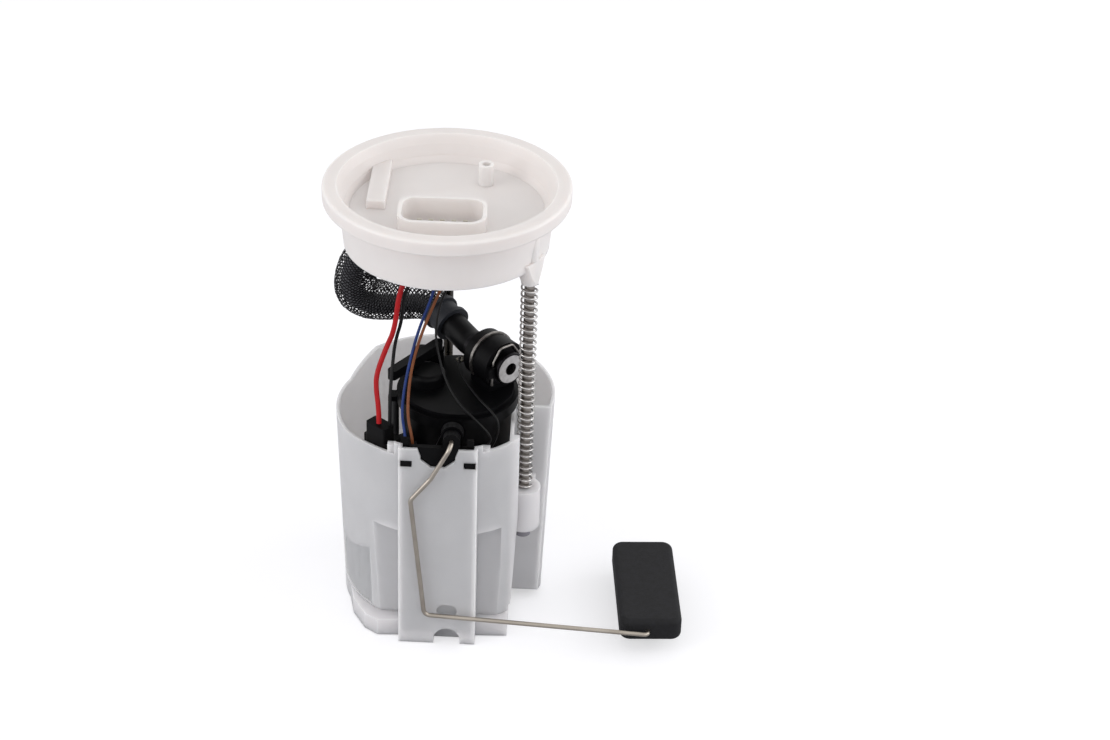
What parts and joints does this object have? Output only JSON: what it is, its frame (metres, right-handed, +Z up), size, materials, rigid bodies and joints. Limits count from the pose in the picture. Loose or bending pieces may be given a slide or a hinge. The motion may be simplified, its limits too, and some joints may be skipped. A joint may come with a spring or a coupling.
{
  "type": "fuel pump module",
  "caption": "In-tank fuel pump module: a reservoir pot with pump, filter and level sender, under a dished lid that slides on two sprung guide rods, with a float on a swinging arm.",
  "frame": {"origin": "centre of the foot pad under the reservoir pot, on the plane it stands on", "axes": "+Z up along the pot's axis and the lid's slide, the level sender and the front panel face -Y, the float lies towards +X"},
  "size_m": [0.1994, 0.1306, 0.254],
  "materials": {
    "cream_acetal": "moulded acetal, satin",
    "lid_acetal": "moulded acetal, satin",
    "black_acetal": "moulded, satin",
    "dark_acetal": "moulded, satin",
    "black_rubber": "moulded",
    "filter_paper": "pleated paper",
    "strainer_mesh": "woven nylon",
    "float_foam": "closed-cell foam",
    "hose_nylon": "corrugated nylon",
    "braided_nylon": "braided",
    "zinc_steel": "zinc plated",
    "spring_steel": "drawn wire",
    "ground_steel": "drawn and polished",
    "tinned_brass": "tinned",
    "ceramic_card": "thick-film ceramic",
    "red_insulation": "extruded",
    "black_insulation": "extruded",
    "blue_insulation": "extruded",
    "brown_insulation": "extruded"
  },
  "bodies": {
    "pot": {"reservoir_pot": "cream_acetal", "inlet_valve": "black_rubber", "filter_housing": "black_acetal", "filter_element": "filter_paper", "filter_cover": "dark_acetal", "check_valve_cap": "black_acetal", "pump_can": "zinc_steel", "pump_outlet_cap": "dark_acetal", "pump_inlet_cap": "dark_acetal", "pump_isolators": "black_rubber", "suction_strainer": "strainer_mesh", "jet_pump": "black_acetal", "jet_hose": "black_rubber", "regulator_holder": "black_acetal", "pressure_regulator": "zinc_steel", "regulator_seals": "black_rubber", "regulator_clip": "spring_steel", "retaining_band": "spring_steel", "fuel_duct": "black_acetal", "duct_collar": "black_acetal", "wire_guide_arm": "dark_acetal", "pump_plug": "dark_acetal", "ground_terminal": "tinned_brass", "ground_connector": "dark_acetal", "ground_wire_short": "black_insulation", "sender_bracket": "cream_acetal", "resistor_card": "ceramic_card"},
    "lid": {"lid": "lid_acetal", "connector_pins": "tinned_brass", "guide_rod_front": "ground_steel", "guide_rod_back": "ground_steel", "rod_end_caps": "dark_acetal", "coil_spring": "spring_steel", "corrugated_hose": "hose_nylon", "braided_sleeve": "braided_nylon", "wire_red": "red_insulation", "wire_black": "black_insulation", "wire_blue": "blue_insulation", "wire_brown": "brown_insulation", "ground_wire_long": "black_insulation"},
    "float_arm": {"float_arm": "ground_steel", "arm_hub": "dark_acetal", "wiper_contacts": "tinned_brass"},
    "float": {"float": "float_foam"}
  },
  "joints": [
    {"name": "lid_slide", "type": "slide", "parent": "pot", "child": "lid", "axis": [0, 0, 1], "range_m": [-0.044, 0], "stiffness_N_per_m": 250, "springref_m": 0.06, "deforming": ["coil_spring", "corrugated_hose", "braided_sleeve", "wire_red", "wire_black", "wire_blue", "wire_brown", "ground_wire_long"]},
    {"name": "float_swing", "type": "hinge", "parent": "pot", "child": "float_arm", "pos_m": [0.007, -0.056, 0.131], "axis": [0, -1, 0], "range_deg": [0, 70]},
    {"name": "float_tilt", "type": "hinge", "parent": "float_arm", "child": "float", "pos_m": [0.11499, -0.04904, 0.0145], "axis": [-0.0698, 0.9976, 0], "range_deg": [-10, 80]}
  ]
}
